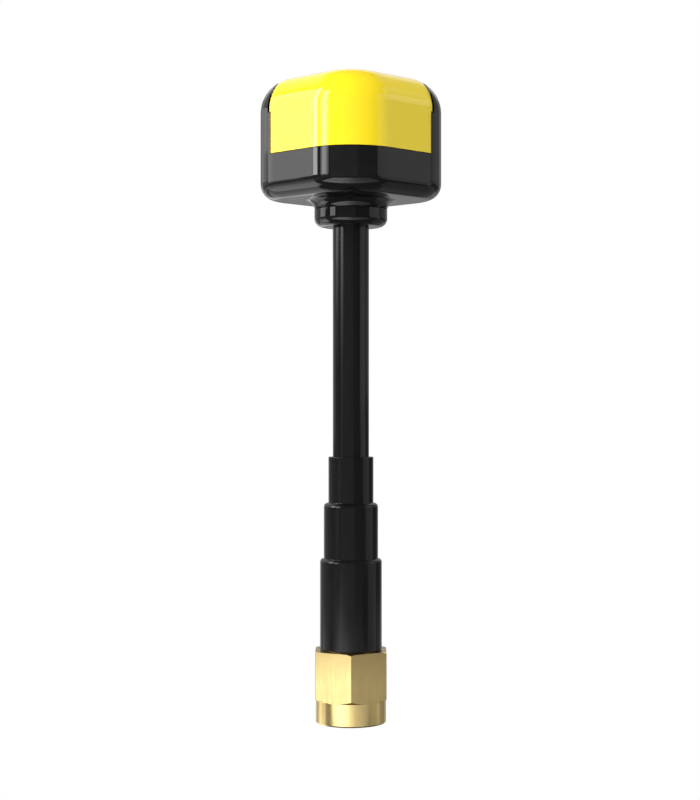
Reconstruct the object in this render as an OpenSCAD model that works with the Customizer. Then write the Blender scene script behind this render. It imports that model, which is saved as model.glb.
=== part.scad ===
// Screw-on circularly polarised antenna: a two-colour square head on a stiff cable stem,
// with a stepped strain-relief sleeve and a gold-plated SMA plug.
// Millimetres. The origin is the centre of the plug's mouth and +Z runs up the stem.
// The head stands on edge to the front: its upright corners point along X and Y.

/* [Whole antenna] */
// Height from the plug's mouth to the top of the head
overall_h = 72.6; // [68:0.2:90]

/* [Head] */
// Width of the head across its flat sides
head_w = 17.85; // [17.4:0.05:20]
// Height of the head
head_h = 13.6; // [13.2:0.1:15]
// Radius of the head's upright corners, seen from above
corner_r = 5.8; // [5.4:0.1:6.2]
// Radius round the head's top edge
top_round = 3.8; // [3:0.1:4]
// Radius round the head's lower edge
bottom_round = 1.8; // [1.8:0.1:2.3]
// Wall thickness of both shells
shell_t = 1.2; // [1:0.05:1.25]
// Height of the cover's lower edge above the head's underside
seam_h = 4.85; // [4:0.05:5.5]
// Width of the cover between the two black ears
cover_w = 17.82; // [17:0.02:18.2]
// How far the cover steps out on each side where the head starts to round over
cover_step = 0.14; // [0.05:0.01:0.3]
// Width of the dark groove between the stepped part of the cover and the ears
ear_gap = 0.22; // [0.05:0.01:0.3]

/* [Neck and stem] */
// Diameter of the round collar under the head
collar_d = 8.24; // [7.8:0.02:9]
// Height of the round collar
collar_h = 2.0; // [1.6:0.1:3.5]
// Height of the flared neck between the collar and the head
neck_h = 1.0; // [0.8:0.05:1.2]
// Outer diameter of the cable stem
stem_d = 4.1; // [3.9:0.05:4.2]

/* [Strain relief] */
// Diameter of the sleeve's lowest step
low_step_d = 7; // [6.8:0.05:7.2]
// Height of the top of the lowest step above the mouth
low_step_z = 18.5; // [17:0.1:21]
// Diameter of the sleeve's middle step
mid_step_d = 6.15; // [5.9:0.05:6.3]
// Height of the top of the middle step above the mouth
mid_step_z = 24.8; // [23:0.1:27]
// Diameter of the sleeve's upper step
top_step_d = 5.1; // [4.8:0.05:5.3]
// Height of the sleeve's upper end above the mouth
sleeve_top_z = 30; // [28:0.1:36]

/* [Coupling nut] */
// Width of the hexagon across its flats
hex_af = 8; // [8:0.05:8.6]
// Height of the coupling nut
nut_h = 8.2; // [8:0.1:8.4]
// Diameter of the round skirt below the hexagon
skirt_d = 7.96; // [7.7:0.02:7.96]
// Height of the round skirt
skirt_h = 2.6; // [2:0.1:3.5]
// How far the nut can slide along the plug
nut_play = 0.3; // [0.1:0.05:0.3]

/* [Hidden] */
$fn = 96;

// Head
head_z = overall_h - head_h;
seam_z = head_z + seam_h;
corner_at = head_w / 2 - corner_r;
step_z = overall_h - top_round - 0.3;
shoulder_z = overall_h - top_round - 0.1;
shoulder_r = 5.5;
seam_gap = 0.02;
ear_groove_depth = 0.7;
tongue_t = 0.5;
tongue_h = 1.2;
tongue_w = cover_w - 2.2;
tongue_gap = 0.05;
post_r = 0.6;
post_ring_r = 4.9;

// Neck
collar_r = collar_d / 2;
collar_top_z = head_z - neck_h;
collar_z = collar_top_z - collar_h;
collar_low_round = 0.95;
collar_top_round = 0.1;
neck_r = collar_r - 0.02;
cove_r = 1.3;
cove_reach = 1.27;
spigot_r = 3;
spigot_gap = 0.03;
spigot_top_z = head_z + 1.9;

// Cable: outer radii from the core to the jacket
core_r = 0.46;
dielectric_r = 1.49;
braid_r = 1.79;
stem_r = stem_d / 2;

// Aerial inside the head
board_t = 0.6;
board_r = 6.3;
low_board_z = head_z + 2.8;
low_board_top = low_board_z + board_t;
top_board_z = overall_h - 3;
top_board_top = top_board_z + board_t;
arm_r = 0.4;
arm_ring_r = 5.5;
arm_sweep = 55;
braid_top_z = low_board_top + 0.6;
core_top_z = top_board_top + 0.6;
jacket_top_z = low_board_z - 0.2;

// Plug, upwards from the mouth
pin_tip_z = 1;
reference_z = 3.3;
contact_r = 2.29;
contact_bore_r = 2.05;
contact_chamfer = 0.1;
contact_end_z = 5.25;
gasket_z = 5.1;
gasket_seat_r = 2.5;
gasket_r = 2.95;
flange_z = 5.7;
flange_r = 2.78;
ring_t = 0.4;
ring_gap = 0.02;
groove_z = 6.91 - ring_t - 2 * ring_gap - nut_play;
groove_r = 2.5;
shaft_z = 6.91;
shaft_r = 2.95;
insulator_top_z = 7.4;
pin_socket_z = 5.2;
pin_body_r = 0.64;
braid_z = 8.8;
tail_z = 8.6;
tail_r = 2.35;
tail_top_z = 13;
tail_gap = 0.05;
tail_bore_r = braid_r + 0.02;

// Coupling nut
thread_r = 2.85;
thread_root_r = 3.17;
thread_pitch = 25.4 / 36;
thread_turns = 6;
thread_first_z = 0.8;
mouth_r = 3.2;
mouth_h = 0.35;
thread_end_z = 4.9;
relief_r = 3.2;
lip_z = 6.1;
lip_r = 3;
seat_r = 3.38;
seat_z = shaft_z - ring_t - 2 * ring_gap;
rear_bore_r = 3.03;
skirt_round = 0.18;
hex_corner_r = hex_af / 2 / cos(30);
bevel_slope = tan(30);

// Retaining ring
ring_in_r = 2.55;
ring_out_r = 3.3;
ring_angle = 320;

// Sleeves
sleeve_z = nut_h + 0.06;
low_round = 0.4;
mid_round = 0.52;
end_round = 0.06;
ferrule_top_z = low_step_z - 0.5;
liner_top_z = mid_step_z - 0.5;
liner_r = mid_step_d / 2 - 0.5;

// Colours
cover_yellow = "#f7ea1e";
shell_black = "#1d1d1f";
sleeve_black = "#161617";
plated_gold = "#d9b45c";
copper = "#b8733a";
silver = "#c9c9c6";
board_green = "#1f4a2c";
ptfe_white = "#f0efe9";
gasket_orange = "#b5502a";

// A round tube on the antenna's axis.
module tube(outer_r, inner_r, from, to) {
    translate([0, 0, from])
        difference() {
            cylinder(r = outer_r, h = to - from);
            translate([0, 0, -1]) cylinder(r = inner_r, h = to - from + 2);
        }
}

// Everything between two heights, as wide as the head needs.
module layer(from, to) {
    translate([-head_w, -head_w, from]) cube([2 * head_w, 2 * head_w, to - from]);
}

// The head's upright section from a corner's centre line outwards, set in on every side.
module edge_profile(inset) {
    reach = corner_r - inset;
    top_r = top_round - inset;
    low_r = bottom_round - inset;
    low_z = head_z + inset;
    top_z = overall_h - inset;
    intersection() {
        translate([0, low_z]) square([reach, top_z - low_z]);
        union() {
            translate([reach - top_r, top_z - top_r]) circle(top_r);
            translate([0, top_z - top_r]) square([reach - top_r, top_r]);
            translate([0, low_z + low_r]) square([reach, top_z - top_r - low_z - low_r]);
            translate([0, low_z]) square([reach - low_r, low_r]);
            translate([reach - low_r, low_z + low_r]) circle(low_r);
        }
    }
}

// The head as one solid, set in on every side: four rounded corners, four sides and a core.
module head_form(inset) {
    rotate([0, 0, 45]) {
        for (turn = [0:90:270])
            rotate([0, 0, turn])
                translate([corner_at, corner_at, 0]) {
                    rotate_extrude(angle = 90) edge_profile(inset);
                    rotate([90, 0, 0]) linear_extrude(2 * corner_at) edge_profile(inset);
                }
        translate([-corner_at, -corner_at, head_z + inset])
            cube([2 * corner_at, 2 * corner_at, head_h - 2 * inset]);
    }
}

// The cover's outline from the front. The gaps widen it for cutting the ears' edges.
module cover_outline(side_gap, top_gap) {
    side_x = cover_w / 2 + side_gap;
    top_x = cover_w / 2 + cover_step + top_gap;
    round_r = shoulder_r + top_gap;
    translate([-side_x, seam_z]) square([2 * side_x, step_z - seam_z]);
    translate([-top_x, step_z]) square([2 * top_x, shoulder_z - step_z]);
    intersection() {
        translate([-top_x, step_z]) square([2 * top_x, top_round + 2]);
        union() {
            for (side = [-1, 1])
                translate([side * (top_x - round_r), shoulder_z]) circle(round_r);
            translate([round_r - top_x, shoulder_z])
                square([2 * (top_x - round_r), top_round + 2]);
        }
    }
}

module cover_cutter(side_gap, top_gap) {
    rotate([90, 0, 0])
        linear_extrude(2 * head_w, center = true) cover_outline(side_gap, top_gap);
}

// Inner rim of the cover, rooted in its wall and reaching down inside the base.
module tongue() {
    intersection() {
        difference() {
            union() {
                intersection() {
                    head_form(shell_t - 0.1);
                    layer(seam_z, seam_z + 1);
                }
                intersection() {
                    head_form(shell_t + tongue_gap);
                    layer(seam_z - tongue_h, seam_z + 0.5);
                }
            }
            head_form(shell_t + tongue_t);
        }
        translate([-tongue_w / 2, -head_w, head_z]) cube([tongue_w, 2 * head_w, head_h]);
    }
}

// Yellow saddle over the top and down the front and back corners.
module top_cover() {
    color(cover_yellow) {
        difference() {
            intersection() {
                head_form(0);
                cover_cutter(0, 0);
            }
            head_form(shell_t);
        }
        tongue();
    }
}

// Short neck that sweeps out into the underside of the head.
module neck_cove() {
    rotate_extrude()
        difference() {
            translate([0, collar_top_z]) square([neck_r + cove_reach, neck_h + shell_t / 2]);
            translate([neck_r + cove_reach, head_z - cove_r + 0.02]) circle(cove_r);
        }
}

// Shallow grooves that part the ears from the stepped part of the cover.
module ear_grooves() {
    difference() {
        cover_cutter(seam_gap, ear_gap);
        head_form(ear_groove_depth);
    }
}

// Black tub with the two ears that run up the side corners.
module base_shell() {
    color(shell_black)
        difference() {
            union() {
                difference() {
                    head_form(0);
                    head_form(shell_t);
                    cover_cutter(seam_gap, seam_gap);
                    ear_grooves();
                }
                neck_cove();
                translate([0, 0, head_z + 0.5]) cylinder(r = 4.2, h = shell_t);
                for (turn = [0:90:270])
                    rotate([0, 0, turn])
                        translate([post_ring_r, 0, head_z + 0.5])
                            cylinder(r = post_r, h = low_board_z - head_z - 0.5);
            }
            translate([0, 0, collar_z]) cylinder(r = spigot_r + spigot_gap, h = head_h / 2);
        }
}

// Round collar under the head, with a spigot that goes up through the base.
module neck_collar() {
    color(shell_black)
        rotate_extrude()
            difference() {
                union() {
                    translate([0, collar_z]) square([collar_r - collar_low_round, collar_h]);
                    translate([0, collar_z + collar_low_round])
                        square([collar_r, collar_h - collar_low_round - collar_top_round]);
                    translate([0, collar_top_z - collar_top_round])
                        square([collar_r - collar_top_round, collar_top_round]);
                    translate([collar_r - collar_low_round, collar_z + collar_low_round])
                        circle(collar_low_round);
                    translate([collar_r - collar_top_round, collar_top_z - collar_top_round])
                        circle(collar_top_round);
                    translate([0, collar_z]) square([spigot_r, spigot_top_z - collar_z]);
                }
                translate([-stem_r, collar_z - 1]) square([2 * stem_r, spigot_top_z - collar_z + 2]);
            }
}

// Bead of adhesive that fixes the cable in the collar.
module glue_bead() {
    color(ptfe_white) tube(spigot_r - 0.1, stem_r, spigot_top_z, jacket_top_z - 0.1);
}

module lower_board() {
    color(board_green) tube(board_r, braid_r, low_board_z, low_board_top);
}

module upper_board() {
    color(board_green) tube(board_r, core_r, top_board_z, top_board_top);
}

// Plastic tube that keeps the two boards apart round the feed.
module feed_spacer() {
    color(ptfe_white) tube(2.4, dielectric_r, braid_top_z, top_board_z);
}

// Fillet of solder between the cable's braid and the lower board.
module shield_solder() {
    color(silver)
        translate([0, 0, low_board_top])
            difference() {
                cylinder(r1 = braid_r + 0.7, r2 = braid_r + 0.2, h = 0.5);
                translate([0, 0, -1]) cylinder(r = braid_r, h = 3);
            }
}

// Solder joint of the cable's core on the upper board.
module feed_solder() {
    color(silver)
        translate([0, 0, top_board_top])
            difference() {
                cylinder(r1 = core_r + 0.7, r2 = core_r + 0.15, h = 0.5);
                translate([0, 0, -1]) cylinder(r = core_r, h = 3);
            }
}

// One of four leaning copper arms between the boards.
module radiator_arm(number) {
    foot = [arm_ring_r, 0, low_board_top];
    tip = [arm_ring_r * cos(arm_sweep), arm_ring_r * sin(arm_sweep), top_board_z];
    run = tip - foot;
    lean = acos(run[2] / norm(run));
    heading = atan2(run[1], run[0]);
    color(copper)
        intersection() {
            rotate([0, 0, 90 * number])
                translate(foot)
                    rotate([0, lean, heading])
                        translate([0, 0, -1]) cylinder(r = arm_r, h = norm(run) + 2);
            layer(low_board_top, top_board_z);
        }
}

module cable_core() {
    color(silver)
        translate([0, 0, pin_socket_z]) cylinder(r = core_r, h = core_top_z - pin_socket_z);
}

module cable_dielectric() {
    color(ptfe_white) tube(dielectric_r, core_r, insulator_top_z, top_board_z);
}

module cable_braid() {
    color(silver) tube(braid_r, dielectric_r, braid_z, braid_top_z);
}

module cable_jacket() {
    color(sleeve_black) tube(stem_r, braid_r, tail_top_z + tail_gap, jacket_top_z);
}

// One stretch of the sleeve's outer profile, with its upper edge rounded.
module sleeve_step(r, top, edge_r) {
    translate([0, sleeve_z]) square([r, top - edge_r - sleeve_z]);
    translate([0, top - edge_r]) square([r - edge_r, edge_r]);
    translate([r - edge_r, top - edge_r]) circle(edge_r);
}

// Heat-shrunk outer sleeve that steps in over the ends of what it covers.
module strain_sleeve() {
    color(sleeve_black)
        rotate_extrude()
            difference() {
                union() {
                    sleeve_step(low_step_d / 2, low_step_z, low_round);
                    sleeve_step(mid_step_d / 2, mid_step_z, mid_round);
                    sleeve_step(top_step_d / 2, sleeve_top_z, end_round);
                }
                translate([-1, sleeve_z - 1]) square([shaft_r + 1, ferrule_top_z - sleeve_z + 1]);
                translate([-1, sleeve_z]) square([liner_r + 1, liner_top_z - sleeve_z]);
                translate([-1, sleeve_z]) square([stem_r + 1, sleeve_top_z]);
            }
}

// Shorter inner sleeve on the cable above the ferrule.
module inner_sleeve() {
    color(sleeve_black) tube(liner_r, stem_r, ferrule_top_z, liner_top_z);
}

// Brass ferrule that clamps the cable to the plug's tail.
module crimp_ferrule() {
    color(plated_gold)
        translate([0, 0, tail_z])
            difference() {
                cylinder(r = shaft_r, h = ferrule_top_z - tail_z);
                translate([0, 0, -1]) cylinder(r = tail_r, h = tail_top_z + tail_gap - tail_z + 1);
                cylinder(r = stem_r, h = ferrule_top_z);
            }
}

// Turned body of the plug: outer contact, flange, ring groove, shaft and tail.
module connector_body() {
    color(plated_gold)
        rotate_extrude()
            difference() {
                polygon([
                    [0, reference_z], [contact_r - contact_chamfer, reference_z],
                    [contact_r, reference_z + contact_chamfer], [contact_r, contact_end_z],
                    [gasket_seat_r, contact_end_z], [gasket_seat_r, flange_z],
                    [flange_r, flange_z], [flange_r, groove_z],
                    [groove_r, groove_z], [groove_r, shaft_z],
                    [shaft_r, shaft_z], [shaft_r, tail_z],
                    [tail_r, tail_z], [tail_r, tail_top_z], [0, tail_top_z]
                ]);
                polygon([
                    [-1, reference_z - 1], [contact_bore_r, reference_z - 1],
                    [contact_bore_r, insulator_top_z], [dielectric_r, insulator_top_z],
                    [dielectric_r, braid_z], [tail_bore_r, braid_z],
                    [tail_bore_r, tail_top_z + 1], [-1, tail_top_z + 1]
                ]);
            }
}

module connector_insulator() {
    color(ptfe_white) tube(contact_bore_r, pin_body_r, reference_z, insulator_top_z);
}

// Centre pin with a socket behind for the cable's core.
module centre_pin() {
    tip_chamfer = 0.22;
    color(plated_gold)
        rotate_extrude()
            polygon([
                [0, pin_tip_z], [core_r - tip_chamfer, pin_tip_z],
                [core_r, pin_tip_z + tip_chamfer], [core_r, reference_z],
                [pin_body_r, reference_z], [pin_body_r, insulator_top_z],
                [core_r, insulator_top_z], [core_r, pin_socket_z], [0, pin_socket_z]
            ]);
}

module gasket() {
    color(gasket_orange) tube(gasket_r, gasket_seat_r, gasket_z, flange_z);
}

// Open ring that holds the nut on the body and lets it spin.
module retaining_ring() {
    color(silver)
        rotate_extrude(angle = ring_angle)
            translate([ring_in_r, seat_z + ring_gap]) square([ring_out_r - ring_in_r, ring_t]);
}

// The coupling thread's grooves, each at its true pitch and depth.
module thread_grooves() {
    half_w = (thread_root_r - thread_r + 0.05) * tan(30);
    for (turn = [0:thread_turns - 1])
        translate([0, thread_first_z + turn * thread_pitch])
            polygon([[thread_r - 0.05, -half_w], [thread_root_r, 0], [thread_r - 0.05, half_w]]);
}

// The nut's hollow: mouth, thread, relief, lip, ring seat and rear bore.
module nut_hollow() {
    rotate_extrude() {
        polygon([
            [0, -1], [mouth_r, -1], [mouth_r, 0], [thread_r, mouth_h],
            [thread_r, thread_end_z], [relief_r, thread_end_z],
            [relief_r, lip_z], [lip_r, lip_z], [lip_r, seat_z], [seat_r, seat_z],
            [seat_r, shaft_z], [rear_bore_r, shaft_z], [rear_bore_r, nut_h + 1], [0, nut_h + 1]
        ]);
        thread_grooves();
    }
}

// Hexagon with its upper end turned to a shallow cone and its lower corners broken, and a
// round skirt below it.
module nut_outside() {
    top_bevel_r = hex_corner_r - 0.24;
    low_bevel_r = hex_af / 2 + 0.02;
    reach_r = hex_corner_r + 0.2;
    intersection() {
        translate([0, 0, skirt_h])
            rotate([0, 0, 30]) cylinder(r = hex_corner_r, h = nut_h - skirt_h, $fn = 6);
        rotate_extrude()
            polygon([
                [0, skirt_h], [low_bevel_r, skirt_h],
                [reach_r, skirt_h + (reach_r - low_bevel_r) * bevel_slope],
                [reach_r, nut_h - (reach_r - top_bevel_r) * bevel_slope],
                [top_bevel_r, nut_h], [0, nut_h]
            ]);
    }
    rotate_extrude() {
        square([skirt_d / 2 - skirt_round, skirt_h + 0.5]);
        translate([0, skirt_round]) square([skirt_d / 2 - 0.02, skirt_h + 0.5 - skirt_round]);
        translate([0, skirt_round]) square([skirt_d / 2, skirt_h - skirt_round]);
        translate([skirt_d / 2 - skirt_round, skirt_round]) circle(skirt_round);
    }
}

module coupling_nut() {
    color(plated_gold)
        difference() {
            nut_outside();
            nut_hollow();
        }
}

top_cover();
base_shell();
neck_collar();
glue_bead();
lower_board();
upper_board();
feed_spacer();
shield_solder();
feed_solder();
radiator_arm(0);  // radiator_arm_1
radiator_arm(1);  // radiator_arm_2
radiator_arm(2);  // radiator_arm_3
radiator_arm(3);  // radiator_arm_4
cable_core();
cable_dielectric();
cable_braid();
cable_jacket();
strain_sleeve();
inner_sleeve();
crimp_ferrule();
connector_body();
connector_insulator();
centre_pin();
gasket();
retaining_ring();
coupling_nut();
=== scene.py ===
# %% [markdown]
# This lesson dresses a small antenna that screws onto a radio: a square head in two colours of
# plastic, a stiff cable stem, a stepped sleeve of shrunk tube and a gold-plated plug with a nut.
# The sizes are settled before Blender starts. A imported model holds every solid piece and its
# joints, and it is loaded first as a frame that nothing here moves. Each piece that shows is then
# modelled again where the solid one stood, because the rounds, seams and threads that catch
# the light need a cleaner mesh than a solid modeller gives.

# %% Load the frame
import math
import bpy
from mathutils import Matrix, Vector


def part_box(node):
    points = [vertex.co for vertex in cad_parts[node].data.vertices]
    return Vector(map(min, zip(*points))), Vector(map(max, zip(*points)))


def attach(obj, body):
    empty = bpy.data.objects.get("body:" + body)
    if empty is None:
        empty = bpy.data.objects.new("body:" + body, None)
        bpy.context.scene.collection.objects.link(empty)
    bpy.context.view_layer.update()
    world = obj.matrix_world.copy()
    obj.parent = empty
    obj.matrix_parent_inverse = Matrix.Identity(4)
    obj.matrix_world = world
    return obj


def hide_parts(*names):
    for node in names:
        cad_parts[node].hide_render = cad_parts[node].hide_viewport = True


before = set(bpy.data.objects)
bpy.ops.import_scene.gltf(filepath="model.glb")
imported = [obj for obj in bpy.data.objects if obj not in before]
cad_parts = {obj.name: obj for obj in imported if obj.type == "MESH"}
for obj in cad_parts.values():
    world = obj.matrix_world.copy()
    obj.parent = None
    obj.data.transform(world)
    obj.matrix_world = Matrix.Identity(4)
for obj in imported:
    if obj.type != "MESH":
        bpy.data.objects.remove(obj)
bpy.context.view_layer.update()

# %% [markdown]
# The pieces are only millimetres across, and Blender's bevel, merge and boolean tools have fixed
# tolerances that are coarse at that size in metres. So each piece is modelled in millimetres, as if
# it were a thousand times larger, and shrunk at the end. The heights and widths are read from the
# solid pieces' boxes, so that the dressed antenna can't drift away from them.

# %% Read the main sizes in millimetres
MM = 0.001


def box_mm(node):
    """Lowest and highest corner of a solid piece, in millimetres."""
    low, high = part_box(node)
    return [c / MM for c in low], [c / MM for c in high]


cover_low, cover_high = box_mm("top_cover")
base_low, base_high = box_mm("base_shell")
collar_low, collar_high = box_mm("neck_collar")
nut_low, nut_high = box_mm("coupling_nut")
OVERALL = cover_high[2]
print("overall height", round(OVERALL, 2), "seam near", round(cover_low[2], 2))

# %% [markdown]
# The camera stands close, two hand's breadths from the antenna, with a fairly long lens: level,
# square on, and so near that the head's lower edges slope up towards the middle. A level camera
# keeps the stem upright in the picture without any lens shift.

# %% Set up the camera
CAMERA_AWAY = 0.1925
CAMERA_HEIGHT = 0.03643
CAMERA_SIDE = -0.0001

camera_data = bpy.data.cameras.new("camera")
camera = bpy.data.objects.new("camera", camera_data)
bpy.context.scene.collection.objects.link(camera)
camera.location = (CAMERA_SIDE, -CAMERA_AWAY, CAMERA_HEIGHT)
camera.rotation_euler = (math.radians(90), 0, 0)
camera_data.sensor_width = 36
camera_data.lens = 76.5
camera_data.clip_start = 0.01
bpy.context.scene.camera = camera
bpy.context.scene.view_settings.view_transform = "Standard"
print("camera looks along +Y from", tuple(round(c, 4) for c in camera.location))

# %% [markdown]
# A product like this is shown on a clean white sweep. White paper lit hard enough to look white
# would spill far too much light on the gloss, so here the paper shows white to the camera only.
# Light that bounces off the piece meets a quiet grey instead, as it would in a dark studio, which
# is what keeps black plastic black. Both views hang on the kind of ray that asks: the camera's own,
# or one that a glossy or clear surface sends on.

# %% Make the world
DIM_ROOM = 0.1

world = bpy.data.worlds.new("studio")
bpy.context.scene.world = world
world.use_nodes = True
nodes, links = world.node_tree.nodes, world.node_tree.links
nodes.clear()
world_out = nodes.new("ShaderNodeOutputWorld")
world_mix = nodes.new("ShaderNodeMixShader")
world_dim = nodes.new("ShaderNodeBackground")
world_dim.inputs["Color"].default_value = (DIM_ROOM, DIM_ROOM, DIM_ROOM, 1)
world_white = nodes.new("ShaderNodeBackground")
world_white.inputs["Color"].default_value = (1, 1, 1, 1)
world_path = nodes.new("ShaderNodeLightPath")
links.new(world_path.outputs["Is Camera Ray"], world_mix.inputs["Fac"])
links.new(world_dim.outputs[0], world_mix.inputs[1])
links.new(world_white.outputs[0], world_mix.inputs[2])
links.new(world_mix.outputs[0], world_out.inputs["Surface"])
print("world nodes:", len(nodes))

# %% [markdown]
# The paper is a pale matt sheet to every other ray, so it still throws a soft light back at the
# antenna. The floor lies well below the antenna, as if it hung in the air, and is darker to gloss
# than the backdrop is, as the ground of a studio would be.

# %% Make the white sweep
FLOOR_Z = -0.45
FLOOR_SIZE = 1.9
FLOOR_GREY = 0.1
BACKDROP_Y = 2.2
BACKDROP_SIZE = 3
BACKDROP_GREY = 0.35
PAPER_PALE = 0.8


def paper(name, gloss_grey):
    """Pale paper that is white to the camera and grey to reflections."""
    made = bpy.data.materials.new(name)
    made.use_nodes = True
    tree = made.node_tree
    tree.nodes.clear()
    out = tree.nodes.new("ShaderNodeOutputMaterial")
    pale = tree.nodes.new("ShaderNodeBsdfDiffuse")
    pale.inputs["Color"].default_value = (PAPER_PALE, PAPER_PALE, PAPER_PALE, 1)
    white = tree.nodes.new("ShaderNodeEmission")
    grey = tree.nodes.new("ShaderNodeEmission")
    grey.inputs["Strength"].default_value = gloss_grey
    path = tree.nodes.new("ShaderNodeLightPath")
    bounced = tree.nodes.new("ShaderNodeMath")
    bounced.operation = "MAXIMUM"
    tree.links.new(path.outputs["Is Glossy Ray"], bounced.inputs[0])
    tree.links.new(path.outputs["Is Transmission Ray"], bounced.inputs[1])
    soft = tree.nodes.new("ShaderNodeMixShader")
    seen = tree.nodes.new("ShaderNodeMixShader")
    tree.links.new(bounced.outputs[0], soft.inputs["Fac"])
    tree.links.new(pale.outputs[0], soft.inputs[1])
    tree.links.new(grey.outputs[0], soft.inputs[2])
    tree.links.new(path.outputs["Is Camera Ray"], seen.inputs["Fac"])
    tree.links.new(soft.outputs[0], seen.inputs[1])
    tree.links.new(white.outputs[0], seen.inputs[2])
    tree.links.new(seen.outputs[0], out.inputs["Surface"])
    return made


def clear_selection():
    """Leave edit mode and select nothing, so that an operator touches only what comes next."""
    if bpy.context.object and bpy.context.object.mode != "OBJECT":
        bpy.ops.object.mode_set(mode="OBJECT")
    bpy.ops.object.select_all(action="DESELECT")


clear_selection()
bpy.ops.mesh.primitive_plane_add(size=FLOOR_SIZE, location=(-0.4, -0.2, FLOOR_Z))
floor = bpy.context.object
floor.name = "floor"
floor.data.materials.append(paper("floor_paper", FLOOR_GREY))
bpy.ops.mesh.primitive_plane_add(
    size=BACKDROP_SIZE, location=(0, BACKDROP_Y, 0.5), rotation=(math.radians(90), 0, 0))
backdrop = bpy.context.object
backdrop.name = "backdrop"
backdrop.data.materials.append(paper("backdrop_paper", BACKDROP_GREY))
print("floor at", floor.location.z, "m, backdrop at", backdrop.location.y, "m")

# %% [markdown]
# Gloss is drawn by what it reflects, so the lights are thought of as softboxes standing round the
# antenna, each filling its own window of bearings and heights in degrees. Bearings count from the
# camera, with the left side positive. Heights are seen from a point on the stem, the eye: the head,
# the stem, the sleeve or the plug. The boxes stand upright, since a tilted one no longer fills its
# window. Most stand far off, the low ones nearer so that they clear the floor, and the left wall
# very near.
#
# A box's brightness is what its mirror image shows, and its power follows from its size.

# %% Helpers for softboxes
HEAD_EYE = 0.062
STEM_EYE = 0.036
SLEEVE_EYE = 0.018
PLUG_EYE = 0.005
FAR = 0.7
MIDWAY = 0.45
LOW = 0.3
NEAR = 0.15
BEHIND = 0.01


def lamp(name, place, tilt, wide, tall, glow, in_gloss=True):
    """A box light of the given size; its glow is what its mirror image would show."""
    data = bpy.data.lights.new(name, "AREA")
    data.shape = "RECTANGLE"
    data.size = wide
    data.size_y = tall
    data.energy = math.pi * wide * tall * glow
    light = bpy.data.objects.new(name, data)
    bpy.context.scene.collection.objects.link(light)
    light.location = place
    light.rotation_euler = tilt
    light.visible_camera = False
    light.visible_glossy = in_gloss
    return light


def softbox(name, bearings, heights, glow, eye=HEAD_EYE, away=FAR, in_gloss=True):
    """An upright box that fills a window of bearings and heights, in degrees from the stem."""
    turn = math.radians(sum(bearings) / 2)
    half_wide = math.radians(abs(bearings[1] - bearings[0]) / 2)
    low, high = [away * math.tan(math.radians(h)) for h in heights]
    place = (-away * math.sin(turn), -away * math.cos(turn), eye + (low + high) / 2)
    tilt = (math.radians(90), 0, -turn)
    return lamp(name, place, tilt, 2 * away * math.tan(half_wide), high - low, glow, in_gloss)


print("eyes in mm:", [round(eye / MM) for eye in (HEAD_EYE, STEM_EYE, SLEEVE_EYE, PLUG_EYE)])

# %% [markdown]
# Two narrow strips on the left draw the twin pale lines down the head's rounded corner. The inner
# one is three boxes deep so that its edges fade: images that overlap add up, but only if one box
# stands slightly behind the other. A near wall beyond the strips lifts the left faces. Below the
# height at which the head sees them, both fade out step by step, because the stem is quieter than
# the head.

# %% Place the strips and the wall on the left
softbox("strip_outer", (78, 89.8), (6.6, 40), 7.3)
softbox("strip_inner_edge", (49.5, 69.5), (6.6, 36), 1.9)
softbox("strip_inner_middle", (53, 67), (6.6, 36), 1.9, away=FAR + BEHIND)
softbox("strip_inner_core", (56.5, 64.5), (6.6, 36), 1.9, away=FAR + 2 * BEHIND)
INNER_FADE = (
    (7.5, 8.7, 3.0), (6, 7.5, 2.3), (4.4, 6, 1.4), (2.8, 4.4, 0.8), (1, 2.8, 0.4), (-9, 1, 0.18),
)
for low, high, glow in INNER_FADE:
    softbox("inner_foot", (50.5, 68.5), (low, high), glow, eye=STEM_EYE)
softbox("left_wall", (87.5, 110.5), (3.4, 37), 2.4, away=NEAR)
WALL_FADE = ((0.8, 3.4, 1.6), (-2.7, 0.8, 0.75), (-6.1, -2.7, 0.2), (-22, -6.1, 0.08))
for low, high, glow in WALL_FADE:
    softbox("wall_foot", (88.5, 110.5), (low, high), glow, away=NEAR)

# %% [markdown]
# Weaker boxes farther round and above draw the ears, the shoulders and the outline of the stem. The
# low ones behind put light along the head's lower edges, brightest in the middle of the edge.

# %% Place the boxes behind, above and below on the left
softbox("left_back", (112, 147), (7, 13), 0.75)
softbox("left_back_near", (112, 131), (8.4, 13), 0.7, away=FAR + BEHIND)
softbox("left_back_low", (113, 150), (-4, 7), 0.3)
softbox("left_back_high", (112, 150), (13, 37), 0.35)
softbox("left_top", (116, 152), (37, 53), 0.5)
softbox("far_left", (150, 170), (-14, 6), 0.35, eye=STEM_EYE)
softbox("back_left_low", (112, 150), (-14, -2), 0.2, eye=SLEEVE_EYE)
softbox("back_top", (150, 210), (20, 48), 0.6)
softbox("left_low_edge", (91, 126), (-48, -14), 0.6, away=MIDWAY)
softbox("left_low", (93, 124), (-47, -22), 0.7, away=LOW + BEHIND)
softbox("left_low_core", (96, 120), (-43, -28), 0.6, away=LOW + 2 * BEHIND)
softbox("back_low_left", (126, 165), (-50, -25), 0.75, away=LOW)
softbox("back_low", (165, 176.6), (-36, -8), 0.55, away=LOW)
softbox("back_low_middle", (176.6, 179), (-36, -8), 0.8, away=LOW)

# %% [markdown]
# The right side stays readable but much quieter. A faint card in front keeps the middle from going
# dead, the sleeve and the plug get their own small boxes, and the key and the fill carry the colour
# of the plastic. Those two are kept out of reflections, so that the front stays deep.

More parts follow.
